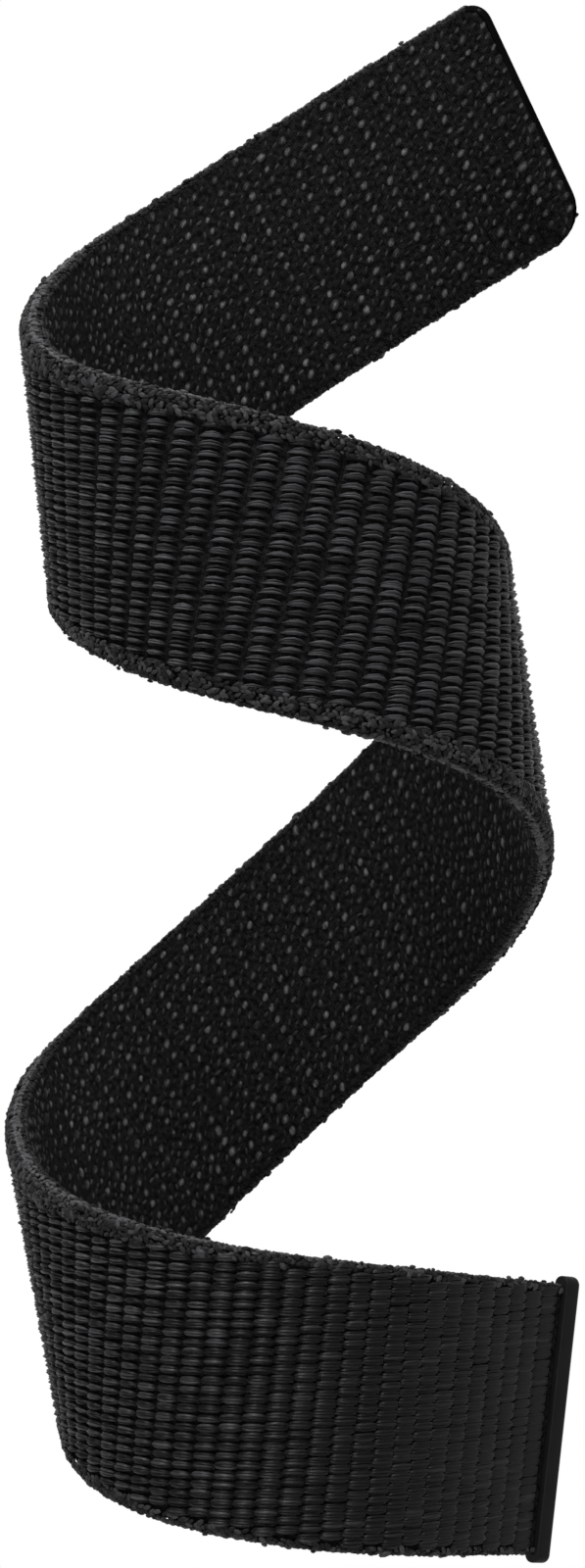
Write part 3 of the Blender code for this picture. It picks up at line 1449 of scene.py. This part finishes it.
@dataclass
class Ground:
    """The close cloth that carries the yarn layers."""

    band: Band
    finish: bpy.types.Material
    outer_sink: float = 0.7 * MM
    inner_sink: float = 0.12 * MM
    edge_sink: float = 0.2 * MM
    edge_radius: float = 0.5 * MM
    edge_faces: int = 3
    corner_faces: int = 6
    row: float = 1.1 * MM
    root_reach: float = 0.3 * MM
    tail_gap: float = 0.3 * MM

    def build(self) -> None:
        """Makes the ground of each stretch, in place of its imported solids."""
        for stretch in self.band.stretches:
            mesh = to_mesh(f"ground_{stretch.number:02d}", self._slab(stretch))
            flat = self._flat(points_of(mesh), stretch)
            uv = mesh.uv_layers.new(name=Map.FLAT.value)
            loops = np.empty(len(mesh.loops), dtype=np.int32)
            mesh.loops.foreach_get("vertex_index", loops)
            uv.uv.foreach_set("vector", (flat[loops][:, (0, 2)] / MM).ravel())
            self.band.add(
                mesh.name, mesh, flat, self.finish, stretch, Slot.BAND, stretch.nodes
            )

    def _slab(self, stretch: Stretch) -> bmesh.types.BMesh:
        """Makes the stretch's ground straight.

        Args:
            stretch: The stretch.

        Returns:
            A slab of its length, X from 0, with rounded edges.
        """
        long = stretch.last - stretch.first
        thick = self.band.thickness - self.outer_sink - self.inner_sink
        wide = self.band.width - 2 * self.edge_sink
        slab = box((long, thick, wide), (long / 2, 0, 0))
        if stretch is self.band.stretches[-1]:
            for side, corner in zip((-1, 1), self.band.tail_corners):
                upright = [
                    edge
                    for edge in upright_edges(slab)
                    if edge.verts[0].co.x > long / 2 and edge.verts[0].co.z * side > 0
                ]
                bevel(slab, upright, corner, self.corner_faces)
        bevel(slab, edges_along(slab, long), self.edge_radius, self.edge_faces)
        cut_rows(slab, long, self.row)
        return slab

    def _flat(self, points: np.ndarray, stretch: Stretch) -> np.ndarray:
        """Moves the slab's points between its leaning borders and to the cloth's levels.

        Args:
            points: The slab's points (n, 3).
            stretch: The stretch.

        Returns:
            The points in flat coordinates.
        """
        before = -self.root_reach if stretch is self.band.stretches[0] else 0.0
        after = self.tail_gap if stretch is self.band.stretches[-1] else 0.0
        along = self.band.leant(points, stretch.first, stretch.last, (before, after))
        middle = (self.inner_sink - self.outer_sink) / 2
        out = (points[:, 1] + middle) * self.band.fullness(along)
        return flat_rows(along, out, points[:, 2])


@dataclass
class SealedEnd:
    """The melted bead that closes the band's free end."""

    band: Band
    finish: bpy.types.Material
    radius: float = 0.32 * MM
    rise: float = 1.15
    run_in: float = 3.2 * MM
    end_share: float = 0.55
    roundness: int = 3
    corner_points: int = 9

    def outline(self) -> list[tuple[float, float]]:
        """Draws the end's outline, before its slant.

        Returns:
            Its points, along and across.
        """
        long = self.band.coil.length - self.radius
        half = self.band.width / 2 - self.radius
        low, high = self.band.tail_corners
        points = [(long - low - self.run_in, -half)]
        for side, corner in ((-1, low), (1, high)):
            for number in range(self.corner_points):
                angle = math.pi / 2 * number / (self.corner_points - 1)
                angle = angle if side > 0 else math.pi / 2 - angle
                along = long - corner + corner * math.cos(angle)
                points.append((along, side * (half - corner + corner * math.sin(angle))))
        points.append((long - high - self.run_in, half))
        return points

    def build(self) -> None:
        """Sweeps the bead down the outline and lays it on the coil."""
        curve = bpy.data.curves.new("sealed_end_path", "CURVE")
        curve.dimensions = "3D"
        curve.bevel_depth = self.radius
        curve.bevel_resolution = self.roundness
        curve.use_fill_caps = True
        spline = curve.splines.new("POLY")
        outline = self.outline()
        spline.points.add(len(outline) - 1)
        for number, (point, (along, across)) in enumerate(zip(spline.points, outline)):
            point.co = (along, 0.0, across, 1.0)
            point.radius = self.end_share if number in (0, len(outline) - 1) else 1.0
        holder = bpy.data.objects.new("sealed_end_path", curve)
        bpy.context.scene.collection.objects.link(holder)
        graph = bpy.context.evaluated_depsgraph_get()
        mesh = bpy.data.meshes.new_from_object(holder.evaluated_get(graph))
        mesh.name = "sealed_end"
        bpy.data.objects.remove(holder)
        flat = points_of(mesh)
        flat[:, 1] *= self.rise * self.band.tail_thickness / 2 / self.radius
        flat[:, 0] += self.band.coil.lean(self.band.coil.length) * flat[:, 2]
        mesh.vertices.foreach_set("co", self.band.coil.lay(flat).ravel())
        piece = add_piece("sealed_end", mesh, self.finish)
        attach(piece, self.band.stretches[-1].child)


@dataclass
class HookPatches:
    """Three patches of small hooks on the outer face, near the sealed end."""

    band: Band
    finish: bpy.types.Material
    count: int = 3
    width: float = 16.0 * MM
    margin: float = 2.2 * MM
    row: float = 1.0 * MM
    plate_bottom: float = 0.95 * MM
    plate_thickness: float = 0.35 * MM
    corner: float = 1.2 * MM
    corner_faces: int = 5
    edge_share: float = 0.6
    hook_pitch: float = 0.62 * MM
    hook_height: float = 0.5 * MM
    hook_radius: float = 0.07 * MM
    hook_sides: int = 5
    stem_share: float = 0.6
    stem_sink: float = 0.05 * MM
    curl: float = math.radians(150.0)
    curl_radius: float = 0.14 * MM
    curl_steps: int = 4
    merge_distance: float = 0.001 * MM

    def build(self) -> None:
        """Makes each patch in two halves, one on each stretch below it, or in one piece on the
        last.
        """
        stretches = self.band.stretches
        count = len(stretches) + 1
        segment = self.band.coil.length / count
        for number in range(1, self.count + 1):
            index = count - self.count + number - 1
            middle = segment * (index + 0.5)
            reach = segment / 2 - self.margin
            first, last = middle - reach, middle + reach
            name, node = f"hooks_{number}", f"hook_patch_{number}"
            if index == count - 1:
                self._plate(name, first, last, (True, True), stretches[-1], node)
                continue
            self._plate(name + "_a", first, middle, (True, False), stretches[index - 1], node)
            self._plate(name + "_b", middle, last, (False, True), stretches[index], node)

    def _plate(
        self,
        name: str,
        first: float,
        last: float,
        rounded: tuple[bool, bool],
        stretch: Stretch,
        node: str,
    ) -> None:
        """Makes the plate and hooks between two leaning lines.

        Args:
            name: The piece's name.
            first: Where the first line crosses the band's middle line.
            last: Where the last line crosses it.
            rounded: Whether the corners at each of them are rounded.
            stretch: The stretch below.
            node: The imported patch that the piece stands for.
        """
        long = last - first
        plate = box((long, self.plate_thickness, self.width), (long / 2, 0, 0))
        corners = [
            edge for edge in upright_edges(plate) if rounded[edge.verts[0].co.x > long / 2]
        ]
        bevel(plate, corners, self.corner, self.corner_faces)
        cut_rows(plate, long, self.row)
        level = self.plate_bottom + self.plate_thickness / 2
        bmesh.ops.translate(plate, verts=plate.verts[:], vec=(0, level, 0))
        hook = to_mesh("hook_unit", self._hook())
        base = len(plate.verts)
        pitch = self.hook_pitch
        edge = self.width / 2 - self.corner * self.edge_share
        spots = np.array(
            [
                (along, 0.0, across)
                for along in np.arange(pitch / 2, long - pitch / 4, pitch)
                for across in np.arange(-edge, edge, pitch)
            ]
        )
        for _ in spots:
            plate.from_mesh(hook)
        mesh = to_mesh(name, plate)
        points = points_of(mesh)
        points[base:] += np.repeat(spots, len(hook.vertices), axis=0)
        points[:, 0] = self.band.leant(points, first, last)
        bpy.data.meshes.remove(hook)
        self.band.add(name, mesh, points, self.finish, stretch, Slot.HOOKS, (node,))

    def _hook(self) -> bmesh.types.BMesh:
        """Makes one hook: a short stem whose tip is turned over.

        Returns:
            The hook, standing on the plate at X and Z 0.
        """
        hook = bmesh.new()
        level = self.plate_bottom + self.plate_thickness - self.stem_sink
        stand = Matrix.Translation((0, level, 0)) @ Matrix.Rotation(-math.pi / 2, 4, "X")
        bmesh.ops.create_circle(
            hook, cap_ends=True, segments=self.hook_sides, radius=self.hook_radius, matrix=stand
        )
        stem = self.hook_height * self.stem_share
        drawn = bmesh.ops.extrude_face_region(hook, geom=hook.faces[:])
        top = [item for item in drawn["geom"] if isinstance(item, bmesh.types.BMVert)]
        bmesh.ops.translate(hook, verts=top, vec=(0, stem, 0))
        tip = [item for item in drawn["geom"] if isinstance(item, bmesh.types.BMFace)]
        bmesh.ops.spin(
            hook,
            geom=tip + list({edge for face in tip for edge in face.edges}) + top,
            cent=(self.curl_radius, level + stem, 0),
            axis=(0, 0, -1),
            angle=self.curl,
            steps=self.curl_steps,
        )
        bmesh.ops.remove_doubles(hook, verts=hook.verts[:], dist=self.merge_distance)
        bmesh.ops.recalc_face_normals(hook, faces=hook.faces[:])
        return hook


@dataclass
class StopBar:
    """The hard bar across the band's fixed end."""

    finish: bpy.types.Material
    corner: float = 0.7 * MM
    corner_faces: int = 8
    rim_highlight: float = 0.42 * MM
    rim_faces: int = 6
    back: float = 0.14 * MM
    back_faces: int = 3
    tolerance: float = 0.01 * MM

    def build(self) -> None:
        """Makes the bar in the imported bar's own box."""
        low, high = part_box("end_bar")
        size = high - low
        bar = box(size, (low + high) / 2)
        bevel(bar, edges_along(bar, size.x), self.corner, self.corner_faces)
        rim_highlight = edges_between(bar, high.x - self.tolerance, math.inf)
        bevel(bar, rim_highlight, self.rim_highlight, self.rim_faces)
        back = edges_between(bar, -math.inf, low.x + self.tolerance)
        bevel(bar, back, self.back, self.back_faces)
        piece = add_piece("bar", to_mesh("bar", bar), self.finish, ("end_bar",))
        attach(piece, "bar_end")


# Studio


@dataclass(frozen=True)
class Lamp:
    """A soft square lamp that faces the strap. Its angles are in degrees."""

    name: str
    around: float
    above: float
    distance: float
    size: float
    power: float

    def place(self, target: Vector) -> None:
        """Adds the lamp, around from +X and above the floor.

        Args:
            target: The place that it faces.
        """
        data = bpy.data.lights.new(self.name, "AREA")
        data.energy = self.power
        data.size = self.size
        lamp = bpy.data.objects.new(self.name, data)
        around, above = math.radians(self.around), math.radians(self.above)
        flat = math.cos(above)
        away = Vector((math.cos(around) * flat, math.sin(around) * flat, math.sin(above)))
        lamp.location = target + away * self.distance
        lamp.rotation_euler = away.to_track_quat("Z", "Y").to_euler()
        bpy.context.scene.collection.objects.link(lamp)


@dataclass
class Studio:
    """The camera, the lamps, the white backdrop and the floor below."""

    camera_place: Triple = (-206.9 * MM, -211.8 * MM, 22.5 * MM)
    camera_turn: Triple = (95.02, -6.74, -39.63)
    lens: float = 83.6
    clip_start: float = 1.0 * MM
    floor_drop: float = 75.0 * MM
    floor_radius: float = 400.0 * MM
    floor_sides: int = 96
    floor_grey: float = 0.9
    floor_roughness: float = 0.9
    fade_from: float = 100.0 * MM
    fade_to_share: float = 0.9
    ambient: float = 0.22
    lamps: tuple[Lamp, ...] = (
        Lamp("key", around=207.0, above=50.0, distance=0.5, size=0.24, power=3.8),
        Lamp("fill", around=-122.0, above=-14.0, distance=0.42, size=0.2, power=0.6),
        Lamp("top", around=60.0, above=72.0, distance=0.6, size=0.4, power=1.2),
    )

    def build(self) -> None:
        """Sets everything up around the finished pieces."""
        low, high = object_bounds()
        middle = (low + high) / 2
        for lamp in self.lamps:
            lamp.place(middle)
        self._camera()
        self._world()
        self._floor((middle.x, middle.y, low.z - self.floor_drop))
        bpy.context.scene.view_settings.view_transform = "Standard"

    def _camera(self) -> None:
        """The camera, at the photograph's angle."""
        data = bpy.data.cameras.new("camera")
        data.lens = self.lens
        data.clip_start = self.clip_start
        camera = bpy.data.objects.new("camera", data)
        camera.location = self.camera_place
        camera.rotation_euler = Euler([math.radians(angle) for angle in self.camera_turn])
        bpy.context.scene.collection.objects.link(camera)
        bpy.context.scene.camera = camera

    def _world(self) -> None:
        """A dim world that the camera, gloss and glass see as white."""
        world = bpy.data.worlds.new("backdrop")
        world.use_nodes = True
        bpy.context.scene.world = world
        nodes = Nodes(world.node_tree, "Background")
        nodes.set(Strength=self.ambient, Color=WHITE)
        nodes.blend(nodes.seen(), nodes.add("Background", Color=WHITE), "World Output")

    def _floor(self, place: Triple) -> None:
        """A round floor that fades to the backdrop's white at its rim.

        Args:
            place: Its middle.
        """
        disc = bmesh.new()
        bmesh.ops.create_circle(
            disc,
            cap_ends=True,
            segments=self.floor_sides,
            radius=self.floor_radius,
            matrix=Matrix.Translation(place),
        )
        material = new_material("floor")
        nodes = Nodes(material.node_tree)
        grey = self.floor_grey
        nodes.set(Base_Color=(grey, grey, grey, 1.0), Roughness=self.floor_roughness)
        away = nodes.add("VectorMath", operation="DISTANCE")
        away.inputs[1].default_value = place
        nodes.join(nodes.add("TexCoord").outputs["Object"], away.inputs[0])
        span = (self.fade_from, self.floor_radius * self.fade_to_share)
        painted_shade = nodes.ranged(away.outputs["Value"], (0.0, 1.0), span)
        share = nodes.combine("MULTIPLY", painted_shade, nodes.seen())
        nodes.blend(share, nodes.add("Emission"), "Material Output")
        mesh = to_mesh("floor", disc)
        mesh.materials.append(material)
        floor = bpy.data.objects.new("floor", mesh)
        bpy.context.scene.collection.objects.link(floor)
        floor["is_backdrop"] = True


def main() -> None:
    """Builds every piece, then the studio."""
    logging.basicConfig(level=logging.INFO, format="%(name)s: %(message)s")
    band = Band(Coil())
    weave = Weave(band)
    Ground(band, GROUND_WEAVE.make()).build()
    OuterFloats(weave, OUTER_YARN.make()).build()
    InnerKnots(weave, INNER_YARN.make()).build()
    ValleyGrains(weave, DIM_YARN.make()).build()
    EdgeGrains(weave, EDGE_YARN.make()).build()
    SealedEnd(band, MELTED_NYLON.make()).build()
    HookPatches(band, HOOK_NYLON.make()).build()
    StopBar(MOULDED_NYLON.make()).build()
    Studio().build()


if __name__ == "__main__":
    main()
